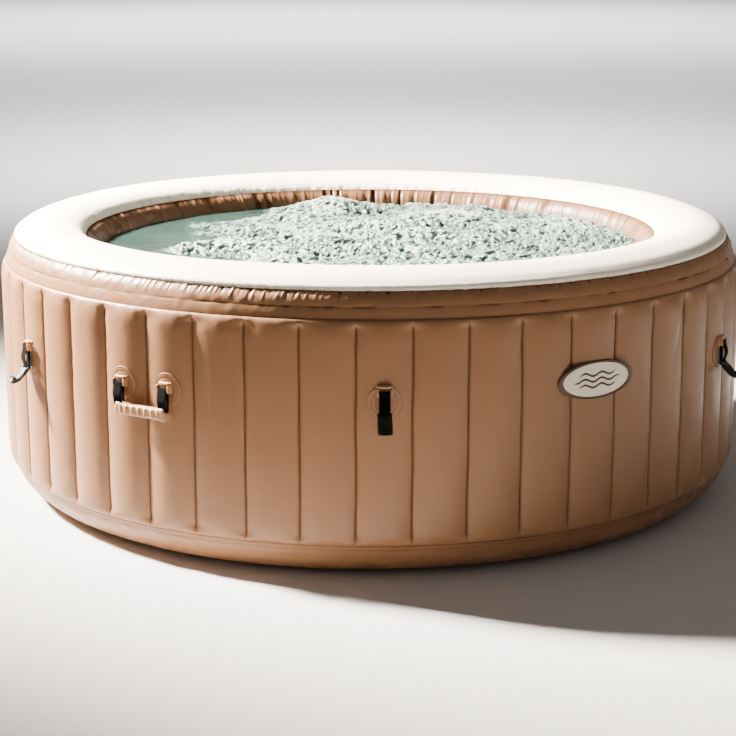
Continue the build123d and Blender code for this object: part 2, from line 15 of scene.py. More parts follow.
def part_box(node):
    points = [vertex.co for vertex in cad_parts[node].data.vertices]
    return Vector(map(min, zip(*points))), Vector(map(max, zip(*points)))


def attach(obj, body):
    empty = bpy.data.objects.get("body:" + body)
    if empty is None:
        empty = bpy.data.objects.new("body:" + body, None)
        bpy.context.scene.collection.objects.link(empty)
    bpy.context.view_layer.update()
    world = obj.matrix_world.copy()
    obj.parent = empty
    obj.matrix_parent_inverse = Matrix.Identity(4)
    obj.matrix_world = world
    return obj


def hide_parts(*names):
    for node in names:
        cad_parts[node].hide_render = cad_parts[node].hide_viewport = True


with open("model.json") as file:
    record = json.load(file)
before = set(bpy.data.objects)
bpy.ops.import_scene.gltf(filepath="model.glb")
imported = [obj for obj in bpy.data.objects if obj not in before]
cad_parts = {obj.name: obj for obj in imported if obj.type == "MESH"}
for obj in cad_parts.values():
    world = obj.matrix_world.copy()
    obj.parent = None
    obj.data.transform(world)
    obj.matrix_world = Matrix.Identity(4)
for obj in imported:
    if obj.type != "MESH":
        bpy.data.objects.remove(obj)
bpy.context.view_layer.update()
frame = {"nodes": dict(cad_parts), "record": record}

# ---- sizes, from the frame and the design --------------------------------------------------
LOW, HIGH = 0, 1
OUTER_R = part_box("outer_wall")[HIGH][0]
LOW_WELD_Z, HIGH_WELD_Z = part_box("outer_wall")[LOW][2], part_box("outer_wall")[HIGH][2]
WELD_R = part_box("lower_band")[HIGH][0]
OUTER_SEAM_R, OUTER_SEAM_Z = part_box("top_ring")[HIGH][0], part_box("shoulder_band")[HIGH][2]
TOP_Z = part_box("top_ring")[HIGH][2]
FOOT_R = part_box("base_ring")[HIGH][0]
INNER_SEAM_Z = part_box("inner_wall")[HIGH][2]
INNER_SEAM_R = 0.757
CREST_R = 0.866
WATER_Z = 0.621
WATER_R = 0.718
RIBS = 48
PITCH = tau / RIBS
RIB_DEPTH = OUTER_R - WELD_R
FINE_WELD_Z = LOW_WELD_Z + 0.545

JOINTS = {joint["name"]: joint for joint in frame["record"]["behaviour"]["joints"]}
BAR_R = 0.003
WEBBING = 0.0015
WEBBING_WIDTH = 0.025
PATCH_R = 0.040
BUCKLE_KICK = radians(45)     # how far the stiff webbing holds a buckle out from the wall
GRIP_LENGTH = 0.142
BADGE_AZIMUTH = radians(30)
BADGE_HALF_WIDTH = 0.108
SPOUT_X, SPOUT_Y = -0.10, 0.56     # where the water wells up highest
PATCH_Z = (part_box("buckle_patches")[LOW][2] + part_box("buckle_patches")[HIGH][2]) / 2
HANDLE_PATCH_Z = (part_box("handle_patches_1")[LOW][2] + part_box("handle_patches_1")[HIGH][2]) / 2


def azimuth_of(point):
    return atan2(point[0], -point[1])


def out_of(point):
    return hypot(point[0], point[1])


# ---- mesh helpers ----------------------------------------------------------------------------
def add_object(name, mesh, material, body, stands_for=()):
    piece = bpy.data.objects.new(name, mesh)
    bpy.context.scene.collection.objects.link(piece)
    mesh.materials.append(material)
    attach(piece, body)
    if stands_for:
        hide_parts(*stands_for)
    return piece


def grid_mesh(name, points, wrap_columns=False, wrap_rows=False):
    """A quad mesh over a (rows, columns, 3) array of points, smooth shaded."""
    rows, columns = points.shape[:2]
    index = np.arange(rows * columns).reshape(rows, columns)
    if wrap_columns:
        index = np.concatenate([index, index[:, :1]], axis=1)
    if wrap_rows:
        index = np.concatenate([index, index[:1]], axis=0)
    quads = np.stack([index[:-1, :-1], index[:-1, 1:], index[1:, 1:], index[1:, :-1]], axis=-1)
    return raw_mesh(name, points.reshape(-1, 3), quads.reshape(-1, 4))


def raw_mesh(name, vertices, quads):
    mesh = bpy.data.meshes.new(name)
    mesh.vertices.add(len(vertices))
    mesh.vertices.foreach_set("co", np.ascontiguousarray(vertices, dtype=np.float32).ravel())
    mesh.loops.add(quads.size)
    mesh.loops.foreach_set("vertex_index", quads.astype(np.int32).ravel())
    mesh.polygons.add(len(quads))
    mesh.polygons.foreach_set("loop_start", np.arange(0, quads.size, 4, dtype=np.int32))
    mesh.update(calc_edges=True)
    mesh.shade_smooth()
    return mesh


def set_shade(mesh, values, name="painted_shade"):
    attribute = mesh.attributes.new(name, "FLOAT", "POINT")
    attribute.data.foreach_set("value", np.ascontiguousarray(values, dtype=np.float32).ravel())


def around(azimuth, radius, z):
    return np.stack([radius * np.sin(azimuth), -radius * np.cos(azimuth), z], axis=-1)


def noise_field(points, scale, seed=0.0):
    """Smooth noise, about -0.5 to 0.5, at each point of a (..., 3) array."""
    flat = (points.reshape(-1, 3) * np.asarray(scale) + seed).tolist()
    return np.array([noise.noise(p) for p in flat]).reshape(points.shape[:-1])


def smooth(edge0, edge1, value):
    t = np.clip((value - edge0) / (edge1 - edge0), 0.0, 1.0)
    return t * t * (3 - 2 * t)


def turned(mesh, azimuth):
    copy = mesh.copy()
    copy.transform(Matrix.Rotation(azimuth, 4, "Z"))
    return copy


def joined(name, meshes):
    """One mesh out of several."""
    bm = bmesh.new()
    for mesh in meshes:
        bm.from_mesh(mesh)
    whole = bpy.data.meshes.new(name)
    bm.to_mesh(whole)
    bm.free()
    whole.shade_smooth()
    return whole


# ---- materials -------------------------------------------------------------------------------
class Nodes:
    """A short way to write a node tree round one Principled shader."""

    def __init__(self, name):
        self.material = bpy.data.materials.new(name)
        self.material.use_nodes = True
        self.tree = self.material.node_tree
        self.shader = self.tree.nodes["Principled BSDF"]
        self.place = self.add("ShaderNodeTexCoord").outputs["Object"]

    def add(self, kind, **settings):
        node = self.tree.nodes.new(kind)
        for key, value in settings.items():
            setattr(node, key, value)
        return node

    def link(self, source, target):
        self.tree.links.new(source, target)

    def noise(self, scale, detail=2.0, stretch=None):
        node = self.add("ShaderNodeTexNoise")
        node.inputs["Scale"].default_value = scale
        node.inputs["Detail"].default_value = detail
        self.link(self.stretched(stretch), node.inputs["Vector"])
        return node.outputs["Fac"]

    def cells(self, scale, stretch=None):
        node = self.add("ShaderNodeTexVoronoi", feature="F1")
        node.inputs["Scale"].default_value = scale
        self.link(self.stretched(stretch), node.inputs["Vector"])
        return node.outputs["Distance"]

    def stretched(self, stretch):
        if stretch is None:
            return self.place
        node = self.add("ShaderNodeMapping")
        node.inputs["Scale"].default_value = stretch
        self.link(self.place, node.inputs["Vector"])
        return node.outputs["Vector"]

    def attribute(self, name):
        return self.add("ShaderNodeAttribute", attribute_name=name).outputs["Fac"]

    def ramp(self, source, low, high, out_low, out_high):
        node = self.add("ShaderNodeMapRange", interpolation_type="SMOOTHSTEP")
        for key, value in zip(("From Min", "From Max", "To Min", "To Max"), (low, high, out_low, out_high)):
            node.inputs[key].default_value = value
        self.link(source, node.inputs["Value"])
        return node.outputs["Result"]

    def mix(self, factor, first, second):
        node = self.add("ShaderNodeMix", data_type="RGBA")
        self.link(factor, node.inputs["Factor"])
        for socket, value in ((node.inputs["A"], first), (node.inputs["B"], second)):
            if isinstance(value, tuple):
                socket.default_value = (*value, 1.0)
            else:
                self.link(value, socket)
        return node.outputs["Result"]

    def bump(self, heights):
        """Bumps stacked one on another, from (source, distance) pairs."""
        normal = None
        for source, distance in heights:
            node = self.add("ShaderNodeBump")
            node.inputs["Strength"].default_value = 1.0
            node.inputs["Distance"].default_value = distance
            self.link(source, node.inputs["Height"])
            if normal:
                self.link(normal, node.inputs["Normal"])
            normal = node.outputs["Normal"]
        self.link(normal, self.shader.inputs["Normal"])

    def set(self, **values):
        for key, value in values.items():
            self.shader.inputs[key.replace("_", " ")].default_value = value


def linear(red, green, blue):
    """An sRGB colour, 0 to 255, as linear values."""
    def channel(value):
        value /= 255
        return value / 12.92 if value <= 0.04045 else ((value + 0.055) / 1.055) ** 2.4
    return channel(red), channel(green), channel(blue)


def scaled(colour, factor):
    return tuple(min(1.0, channel * factor) for channel in colour)


def vinyl(name, colour, painted_shade_colour, roughness=(0.34, 0.46), mottle=0.06):
    """Satin welded vinyl: mottled colour, painted shade in the rib valleys, fold hollows and along the
    seams, a fine leather-like emboss.
    """
    n = Nodes(name)
    broad = n.mix(n.noise(5.0, 4.0), scaled(colour, 1 - mottle), scaled(colour, 1 + mottle))
    speckled = n.mix(n.ramp(n.noise(180.0, 3.0), 0.45, 0.75, 0.0, 0.25), broad, scaled(colour, 0.9))
    # Painted shade: the mask mixes the colour towards the painted shade colour in valleys, fold hollows and
    # along seams.
    with_painted_shade = n.mix(n.attribute("painted_shade"), speckled, painted_shade_colour)
    n.link(with_painted_shade, n.shader.inputs["Base Color"])
    n.link(n.ramp(n.noise(22.0, 3.0), 0.3, 0.7, *roughness), n.shader.inputs["Roughness"])
    n.bump([(n.noise(28.0, 3.0), 0.0012), (n.cells(420.0), 0.00018), (n.noise(1300.0), 0.00008)])
    # Painted shade also takes the specular away where the mask is high.
    n.link(n.ramp(n.attribute("painted_shade"), 0.0, 0.6, 0.3, 0.0), n.shader.inputs["Specular IOR Level"])
    return n.material


def moulded(name, colour, roughness=0.42, specular=0.4):
    """Moulded plastic with a fine spark-eroded grain and slightly uneven gloss."""
    n = Nodes(name)
    uneven = n.mix(n.noise(60.0, 3.0), scaled(colour, 0.93), scaled(colour, 1.07))
    n.link(uneven, n.shader.inputs["Base Color"])
    gloss = n.ramp(n.noise(150.0), 0.3, 0.7, roughness - 0.06, roughness + 0.08)
    n.link(gloss, n.shader.inputs["Roughness"])
    n.bump([(n.noise(900.0, 3.0), 0.00006), (n.noise(90.0), 0.0002)])
    n.set(Specular_IOR_Level=specular)
    return n.material


def woven(name, colour):
    """Nylon webbing: ribs across the strap and threads along it."""
    n = Nodes(name)
    ribs = n.add("ShaderNodeTexWave", bands_direction="Z")
    ribs.inputs["Scale"].default_value = 210.0
    n.link(n.place, ribs.inputs["Vector"])
    threads = n.cells(900.0, (1.0, 1.0, 0.5))
    n.link(n.mix(threads, scaled(colour, 1.6), scaled(colour, 0.6)), n.shader.inputs["Base Color"])
    n.bump([(ribs.outputs["Fac"], 0.0005), (threads, 0.0003)])
    n.set(Roughness=0.9, Specular_IOR_Level=0.05)
    return n.material


def pool_water(name):
    """Churned water: teal and glossy where calm, white crests over dark gaps where it foams."""
    n = Nodes(name)
    foam = n.attribute("foam")
    body = n.mix(n.noise(6.0, 4.0), linear(14, 26, 23), linear(40, 58, 52))
    crests = n.ramp(n.noise(95.0, 8.0), 0.49, 0.62, 0.0, 1.0)
    specks = n.ramp(n.cells(210.0), 0.12, 0.42, 1.0, 0.0)
    gaps = n.mix(n.noise(40.0, 4.0), linear(24, 40, 36), linear(84, 104, 97))
    churned = n.mix(specks, n.mix(crests, gaps, linear(118, 132, 124)), linear(84, 100, 93))
    froth = n.mix(n.ramp(foam, 0.62, 1.15, 0.0, 1.0), churned, linear(152, 165, 156))
    n.link(n.mix(n.ramp(foam, 0.0, 0.3, 0.0, 1.0), body, froth), n.shader.inputs["Base Color"])
    n.link(n.ramp(foam, 0.0, 0.5, 0.06, 0.30), n.shader.inputs["Roughness"])
    n.bump([(n.noise(45.0, 6.0), 0.005), (n.noise(150.0, 6.0), 0.003)])
    n.set(IOR=1.33, Specular_IOR_Level=0.4)
    return n.material


TAN = linear(138, 98, 68)
CREAM = linear(254, 243, 229)
MATERIALS = {
    # The second colour of each vinyl is its painted shade colour, used where the painted shade mask is
    # high.
    "wall": vinyl("tan_vinyl", TAN, linear(62, 36, 22)),
    "patch": vinyl("patch_vinyl", linear(144, 104, 74), linear(84, 54, 36)),
    "cream": vinyl("cream_vinyl", CREAM, linear(196, 160, 128), (0.3, 0.4), 0.02),
    # Painted shade: the same tan vinyl as the outside, darkened because the inside wall sits in shade.
    "shade_darkened_tan": vinyl("liner_vinyl", linear(106, 72, 49), linear(44, 27, 18)),
    "beige": moulded("moulded_beige", linear(172, 128, 90)),
    "webbing": woven("black_webbing", linear(6, 6, 6)),
    "buckle": moulded("black_acetal", linear(15, 15, 16), 0.45, specular=0.35),
    "badge_face": moulded("badge_face", linear(226, 214, 200), 0.35),
    "badge_rim": moulded("badge_rim", linear(74, 50, 34), 0.35),
    "port": moulded("port_plastic", linear(120, 116, 110), 0.38),
    "pipe": moulded("pipe_plastic", linear(205, 205, 198), 0.3),
    "rubber": moulded("seal_rubber", linear(34, 33, 33), 0.7),
    "web": moulded("beam_web", linear(222, 216, 204), 0.6),
    "water": pool_water("churned_water"),
}


# ---- ribbed wall -----------------------------------------------------------------------------
DENTS = [  # rib number, height at the weld end, lean across the rib, depth
    (-1.46, 0.575, 0.55, 0.0042), (-4.42, 0.570, 0.30, 0.0022), (2.55, 0.572, -0.45, 0.0024),
    (6.46, 0.574, -0.5, 0.0026), (11.45, 0.57, 0.4, 0.003), (-9.5, 0.572, 0.5, 0.003),
    (17.5, 0.573, -0.5, 0.003), (-15.5, 0.57, 0.45, 0.003), (22.5, 0.574, 0.5, 0.003),
]


def rib_wall_radius(azimuth, z):
    """Radius of the ribbed wall, and how much painted shade each point gets down the rib valleys, 0 to 1.
    """
    points = around(azimuth, np.full_like(azimuth, OUTER_R), z)
    bend = azimuth + 0.0022 * noise_field(points, (3.0, 3.0, 9.0), 5.1)
    rib = bend / PITCH + 0.5
    u = np.abs((rib - np.floor(rib)) * 2 - 1)
    from_weld = np.minimum(HIGH_WELD_Z - z, z - LOW_WELD_Z)
    rise = np.clip(from_weld / 0.045, 0, 1)
    crest = WELD_R + RIB_DEPTH * np.sqrt(1 - (1 - rise) ** 2)
    ends = smooth(0.000, 0.026, from_weld)
    valley = 0.85 * RIB_DEPTH * u**2.3 * ends
    pinch = np.exp(-(((1 - u) / 0.04) ** 2)) * ends
    swell = 0.0016 * noise_field(points, (2.4, 2.4, 3.2), 9.7)
    near_valley = np.exp(-(((1 - u) / 0.22) ** 2)) * ends
    ripple = 0.0015 * noise_field(points, (20.0, 20.0, 30.0), 2.3) * near_valley
    pucker = 0.0016 * noise_field(points, (55.0, 55.0, 9.0), 7.9) * np.exp(-from_weld / 0.03)
    radius = crest - valley - 0.0026 * pinch + swell + ripple + pucker * (from_weld > 0)
    # Painted shade down the narrow pinched valleys between the ribs.
    shade = np.clip(pinch * 0.6, 0, 1)
    for at, top, lean, depth in DENTS:
        down = (top - z) / 0.16
        centre = at + lean * np.clip(down, 0, 1)
        width = 0.05 + 0.10 * np.clip(down, 0, 1)
        fade = smooth(-0.05, 0.12, down) * (1 - smooth(0.55, 1.0, down))
        radius = radius - depth * fade * np.exp(-(((azimuth / PITCH - centre) / width) ** 2))
    return radius, shade


def rib_columns():
    """Azimuths round the wall, closer together at the upright welds."""
    per_rib = 30
    s = np.linspace(-1, 1, per_rib, endpoint=False)
    u = np.sin(s * pi / 2)
    return np.concatenate([(k + u / 2) * PITCH for k in range(RIBS)])


def rib_wall():
    rows = 60
    t = np.linspace(0, 1, rows + 1)
    heights = LOW_WELD_Z + (HIGH_WELD_Z - LOW_WELD_Z) * (1 - np.cos(pi * t)) / 2
    azimuth, z = np.meshgrid(rib_columns(), heights)
    radius, shade = rib_wall_radius(azimuth, z)
    mesh = grid_mesh("rib_wall", around(azimuth, radius, z), wrap_columns=True)
    set_shade(mesh, shade)
    add_object("rib_wall", mesh, MATERIALS["wall"], "tub", ["outer_wall", "port_panel"])


def wall_out(x, z, azimuth):
    """How far out the ribbed wall is, at a place x sideways from an azimuth."""
    swing = np.arctan2(x, OUTER_R)
    radius, _ = rib_wall_radius(azimuth + swing, z)
    return radius * np.cos(swing)


# ---- ring skins above and below the ribs -----------------------------------------------------
def curve_through(points, count):
    """Even parameters along a smooth curve through (radius, z) points."""
    points = np.array(points)
    spline = bpy.data.curves.new("profile", "CURVE")
    strand = spline.splines.new("BEZIER")
    strand.bezier_points.add(len(points) - 1)
    for knot, (r, z) in zip(strand.bezier_points, points):
        knot.co = (r, z, 0)
        knot.handle_left_type = knot.handle_right_type = "AUTO"
    strand.resolution_u = 40
    holder = bpy.data.objects.new("profile", spline)
    traced = bpy.data.meshes.new_from_object(holder)
    line = np.array([v.co[:2] for v in traced.vertices])
    bpy.data.objects.remove(holder)
    bpy.data.curves.remove(spline)
    bpy.data.meshes.remove(traced)
    run = np.concatenate([[0], np.cumsum(np.hypot(*np.diff(line, axis=0).T))])
    even = np.linspace(0, run[-1], count)
    return np.stack([np.interp(even, run, line[:, 0]), np.interp(even, run, line[:, 1])], axis=1)


def profile_normals(line):
    """Outward normals of a profile that runs up the outside, or on over the top."""
    step = np.gradient(line, axis=0)
    step /= np.hypot(*step.T)[:, None]
    return np.stack([step[:, 1], -step[:, 0]], axis=1)


def ring_skin(name, line, columns, lift, shade, material, stands_for):
    """A profile wound round the tub, moved along its normal by lift(points, azimuth, v)."""
    azimuths = np.linspace(0, tau, columns, endpoint=False)
    azimuth, v = np.meshgrid(azimuths, np.linspace(0, 1, len(line)))
    radius, z = line[:, :1] + 0 * azimuth, line[:, 1:] + 0 * azimuth
    normal = profile_normals(line)
    amount = lift(around(azimuth, radius, z), azimuth, v)
    placed = around(azimuth, radius + amount * normal[:, :1], z + amount * normal[:, 1:])
    mesh = grid_mesh(name, placed, wrap_columns=True)
    set_shade(mesh, shade(amount, v))
    add_object(name, mesh, material, "tub", stands_for)


def pleats(azimuth, v, seed, mean_gap, width, depth, slant, radius, reach, dense=None):
    """Random gathers beside a seam at v = 1: raised folds that lean and fade out downwards."""
    rng = np.random.default_rng(seed)
    total = np.zeros_like(azimuth)
    columns = azimuth.shape[1]
    at = 0.0
    while at < tau:
        gap = rng.uniform(0.45, 1.7) * mean_gap
        at += gap / radius
        strength = rng.uniform(0.35, 1.0)
        half = rng.uniform(0.6, 1.3) * width
        lean = rng.uniform(0.4, 1.2) * slant
        deep = rng.uniform(0.55, 1.0) * reach
        side = 1 if rng.uniform() < 0.55 else -1
        if dense is not None:
            strength *= dense(at)
        centre = int(at / tau * columns)
        span = int((3 * half + abs(slant)) / (tau * radius) * columns) + 2
        picks = np.arange(centre - span, centre + span + 1) % columns
        away = (azimuth[:, picks] - at + pi) % tau - pi
        x = away * radius - lean * (v[:, picks] - 0.5)
        fade = smooth(1 - deep, 1 - 0.35 * deep, v[:, picks])
        total[:, picks] += side * strength * depth * np.exp(-((x / half) ** 2)) * fade
    return total


def front_dense(at):
    """Gathers are strongest round the front left, and calm down to the right."""
    return 0.72 + 0.28 * cos(at - radians(-10))


def shoulder():
    line = curve_through([(WELD_R, HIGH_WELD_Z), (0.9600, 0.632), (0.952, 0.654),
                          (OUTER_SEAM_R, OUTER_SEAM_Z)], 27)
    fine = (FINE_WELD_Z - HIGH_WELD_Z) / (OUTER_SEAM_Z - HIGH_WELD_Z)

    def lift(points, azimuth, v):
        gathers = pleats(azimuth, v, seed=11, mean_gap=0.015, width=0.0032, depth=0.0019,
                         slant=0.019, radius=0.95, reach=0.56, dense=front_dense)
        lower = pleats(azimuth, v, seed=12, mean_gap=0.075, width=0.005, depth=0.0013,
                       slant=0.006, radius=0.95, reach=0.98, dense=front_dense)
        lower *= 1 - smooth(fine - 0.02, fine + 0.15, v)
        belly = 0.0012 * np.sin(np.clip((v - fine) / (1 - fine), 0, 1) * pi)
        belly += 0.0008 * np.sin(np.clip(v / fine, 0, 1) * pi)
        broken = 0.5 + noise_field(points, (16.0, 16.0, 1.0), 5.5)
        groove = -0.0011 * broken * np.exp(-(((v - fine) / 0.03) ** 2))
        pucker = 0.0012 * noise_field(points, (40.0, 40.0, 60.0), 3.3)
        return gathers + lower + belly + groove + pucker * np.sin(v * pi)

    def shade(amount, v):
        # Painted shade: darker in the pleat hollows, along the weld over the ribs, along the fine weld line
        # and under the cushion's seam.
        low = smooth(0.0, -0.0014, amount)
        line_dark = 0.7 * np.exp(-((v / 0.03) ** 2)) + 0.25 * np.exp(-(((v - fine) / 0.025) ** 2))
        return np.clip(0.8 * low + line_dark + 0.5 * np.exp(-(((1 - v) / 0.05) ** 2)), 0, 1)

    ring_skin("shoulder_skin", line, 3000, lift, shade, MATERIALS["wall"],
              ["shoulder_band"])


def lower_band():
    line = curve_through([(0.744, 0.0), (FOOT_R, 0.0), (0.893, 0.0085), (0.930, 0.030), (0.955, 0.061),
                          (WELD_R, LOW_WELD_Z)], 40)

    def lift(points, azimuth, v):
        lines = -0.0012 * np.exp(-(((v - 0.955) / 0.008) ** 2))
        crinkle = 0.0022 * noise_field(points, (26.0, 26.0, 60.0), 4.4) * smooth(0.55, 0.8, v)
        crinkle = crinkle * (1 - smooth(0.93, 1, v))
        swell = 0.002 * noise_field(points, 4.0, 8.8) * smooth(0.55, 0.75, v) * (1 - smooth(0.9, 1, v))
        return lines + crinkle + swell

    def shade(amount, v):
        # Painted shade along the weld under the ribs and along the weld line just below it.
        seam = 0.7 * np.exp(-(((v - 1) / 0.012) ** 2))
        weld = 0.4 * np.exp(-(((v - 0.955) / 0.01) ** 2))
        return np.clip(seam + weld, 0, 1)

    ring_skin("lower_skin", line, 1440, lift, shade, MATERIALS["wall"],
              ["lower_band", "base_ring"])


def top_cushion():
    line = curve_through([(OUTER_SEAM_R - 0.0015, OUTER_SEAM_Z - 0.001), (0.9425, 0.6755), (0.9315, 0.6875),
                          (0.905, 0.7015), (CREST_R, TOP_Z), (0.826, 0.7065), (0.789, 0.6945),
                          (0.7655, 0.6775), (INNER_SEAM_R, INNER_SEAM_Z)], 60)

    def lift(points, azimuth, v):
        outer = pleats(azimuth, 1 - v, seed=11, mean_gap=0.017, width=0.0045, depth=0.0012,
                       slant=0.006, radius=0.95, reach=0.09, dense=front_dense)
        inner = pleats(azimuth, v, seed=21, mean_gap=0.03, width=0.007, depth=0.0018,
                       slant=0.004, radius=INNER_SEAM_R, reach=0.13)
        swell = 0.0018 * noise_field(points, 3.0, 1.1) * np.sin(v * pi)
        return outer + inner + swell

    def shade(amount, v):
        # Painted shade along the outer and inner seams and in the hollows between the gathers.
        edge = 0.5 * np.exp(-((v / 0.012) ** 2)) + 0.75 * np.exp(-(((1 - v) / 0.014) ** 2))
        return np.clip(edge + 0.3 * smooth(0.0002, -0.0012, amount), 0, 1)

    ring_skin("top_cushion", line, 1500, lift, shade, MATERIALS["cream"],
              ["top_ring"])


BASIN_FOLDS = [  # azimuth, half width in degrees, depth: the deep gathers at the back
    (189.0, 0.35, 0.010), (187.2, 0.3, 0.009), (185.6, 0.3, 0.008), (177.4, 0.4, 0.014),
    (171.0, 0.35, 0.006),
]


def basin():
    line = curve_through([(0.738, 0.004), (0.722, 0.04), (0.7165, 0.14), (0.7165, 0.50), (0.7185, 0.585),
                          (0.7235, 0.622), (0.736, 0.650),
                          (INNER_SEAM_R - 0.001, INNER_SEAM_Z + 0.0005)], 50)[::-1]

    def lift(points, azimuth, v):
        near = smooth(0.72, 1.0, 1 - v)
        folds = pleats(azimuth, 1 - v, seed=31, mean_gap=0.05, width=0.0070, depth=0.0045,
                       slant=0.010, radius=0.74, reach=0.22)
        fine = pleats(azimuth, 1 - v, seed=32, mean_gap=0.020, width=0.0035, depth=0.0015,
                      slant=0.006, radius=0.74, reach=0.12)
        wall = 0.004 * noise_field(points, (9.0, 9.0, 12.0), 6.6)
        for at, wide, deep in BASIN_FOLDS:
            folds = folds - deep * np.exp(-(((azimuth - radians(at)) / radians(wide)) ** 2)) * near
        return (folds + fine) * smooth(0.0, 0.012, v) + wall * near * smooth(0.0, 0.03, v)

    def shade(amount, v):
        # Painted shade in the hollows of the folds and along the top seam under the cushion.
        return np.clip(0.6 * smooth(0.0, -0.004, amount) + 0.7 * np.exp(-((v / 0.008) ** 2)), 0, 1)

    # The basin wears the tan vinyl darkened as painted shade for the inside of the tub.
    ring_skin("basin_skin", line, 2000, lift, shade, MATERIALS["shade_darkened_tan"],
              ["inner_wall", "inner_port_panel"])


# ---- water -----------------------------------------------------------------------------------
def water():
    """The bubbling surface: a disc of rings and spokes, foaming but for a calm strip at the left."""
    rings, spokes = 190, 510
    rho = WATER_R * np.linspace(0, 1, rings + 1)[1:] ** 0.8
    theta = np.linspace(0, tau, spokes, endpoint=False)
    angle, reach = np.meshgrid(theta, rho)
    x, y = reach * np.cos(angle), reach * np.sin(angle)
    flat = np.stack([x, y, 0 * x], axis=-1)
    wander = noise_field(flat, 5.0, 2.0) * 0.20 + noise_field(flat, 14.0, 4.0) * 0.07
    churn = smooth(-0.50, -0.37, x - 0.30 * np.maximum(y - 0.1, 0) + wander)
    ridges = np.array([noise.turbulence(p, 3, True, amplitude_scale=0.6, frequency_scale=2.1)
                       for p in (flat.reshape(-1, 3) * 30.0 + 3.0).tolist()]).reshape(x.shape)
    ridges = 0.9 - ridges
    mounds = noise_field(flat, 6.0, 11.0)
    spout = np.exp(-(((x - SPOUT_X) ** 2 + (y - SPOUT_Y) ** 2) / 0.010))
    height = churn * (0.026 * ridges + 0.014 * mounds + 0.022 * spout - 0.004)
    height += (1 - churn) * 0.0016 * noise_field(flat, 14.0, 1.0)
    rim = smooth(WATER_R, WATER_R - 0.02, reach)
    height *= 0.35 + 0.65 * rim
    points = np.stack([x, y, WATER_Z + height], axis=-1)
    mesh = grid_mesh("water_surface", points, wrap_columns=True)
    foam = churn * np.clip(0.1 + 0.9 * smooth(0.35, 0.85, ridges) + 0.5 * mounds, 0.1, 1.0)
    set_shade(mesh, foam, "foam")
    bm = bmesh.new()
    bm.from_mesh(mesh)
    bm.verts.ensure_lookup_table()
    bm.faces.new([bm.verts[i] for i in range(spokes)])
    bm.to_mesh(mesh)
    bm.free()
    mesh.shade_smooth()
    add_object("water_surface", mesh, MATERIALS["water"], "tub")


# ---- hardware --------------------------------------------------------------------------------
def soft_box(x_size, out_from, out_to, z_from, z_to, x=0.0, round_off=0.0012, segments=3):
    """A front-facing box with rounded edges."""
    bm = bmesh.new()
    bmesh.ops.create_cube(bm, size=1.0)
    size = Vector((x_size, out_to - out_from, z_to - z_from))
    centre = Vector((x, -(out_from + out_to) / 2, (z_from + z_to) / 2))
    bmesh.ops.scale(bm, vec=size, verts=bm.verts)
    bmesh.ops.translate(bm, vec=centre, verts=bm.verts)
    bmesh.ops.bevel(bm, geom=bm.edges, offset=round_off, segments=segments, profile=0.5, affect="EDGES")
    mesh = bpy.data.meshes.new("soft_box")
    bm.to_mesh(mesh)
    bm.free()
    return mesh


def lathe(profile, axis_point, segments=40):
    """A (radius, out) profile turned about a front-facing outward axis through (x, z)."""
    profile = np.array(profile)
    theta = np.linspace(0, tau, segments, endpoint=False)
    angle, radius = np.meshgrid(theta, profile[:, 0])
    out = profile[:, 1:] + 0 * angle
    x, z = axis_point
    points = np.stack([x + radius * np.cos(angle), -out, z + radius * np.sin(angle)], axis=-1)
    return grid_mesh("lathe", points[:, ::-1], wrap_columns=True)


def side_rod(radius, length, out, z, x=0.0, segments=20):
    """A rod lying sideways, with rounded ends."""
    ends = [(0.3, 0.0), (0.8, 0.25), (1.0, 1.0)]
    half = length / 2
    stations = [(-half + e * radius * 0.4, s) for s, e in ends]
    stations += [(half - e * radius * 0.4, s) for s, e in ends[::-1]]
    theta = np.linspace(0, tau, segments, endpoint=False)
    rows = []
    for along, size in stations:
        rows.append(np.stack([0 * theta + x + along, -(out + size * radius * np.sin(theta)),
                              z + size * radius * np.cos(theta)], axis=-1))
    return grid_mesh("rod", np.array(rows), wrap_columns=True)


def ribbon(path, width, thickness, x=0.0):
    """Webbing with rounded selvedges along a closed path of (out, z) points."""
    path = np.array(path)
    step = np.roll(path, -1, axis=0) - np.roll(path, 1, axis=0)
    step /= np.hypot(*step.T)[:, None]
    normal = np.stack([step[:, 1], -step[:, 0]], axis=1)
    h, t = width / 2, thickness / 2
    section = [(-h, 0.3), (-h + t, 1), (-h * 0.5, 1), (h * 0.5, 1), (h - t, 1), (h, 0.3),
               (h, -0.3), (h - t, -1), (h * 0.5, -1), (-h * 0.5, -1), (-h + t, -1), (-h, -0.3)]
    columns = [np.stack([0 * path[:, 0] + x + sx, -(path[:, 0] + side * t * normal[:, 0]),
                         path[:, 1] + side * t * normal[:, 1]], axis=-1) for sx, side in section]
    return grid_mesh("ribbon", np.stack(columns, axis=1), wrap_columns=True, wrap_rows=True)


def teardrop(top, bottom, radius_top, radius_bottom, bulge, count=14):
    """A closed path round an upper and a lower bar, whose outer ply stands away in between."""
    (top_out, top_z), (low_out, low_z) = top, bottom
    path = []
    for i in range(count + 1):
        angle = pi - pi * i / count
        path.append((top_out + radius_top * cos(angle), top_z + radius_top * sin(angle)))
    for i in range(1, count):
        t = i / count
        stand = bulge * sin(pi * t) ** 2
        path.append((top_out + radius_top + (low_out + radius_bottom - top_out - radius_top) * t + stand,
                     top_z + (low_z - top_z) * t))
    for i in range(count + 1):
        angle = -pi * i / count
        path.append((low_out + radius_bottom * cos(angle), low_z + radius_bottom * sin(angle)))
    for i in range(1, count):
        t = 1 - i / count
        path.append((top_out - radius_top + (low_out - radius_bottom - top_out + radius_top) * t,
                     top_z + (low_z - top_z) * t))
    return path


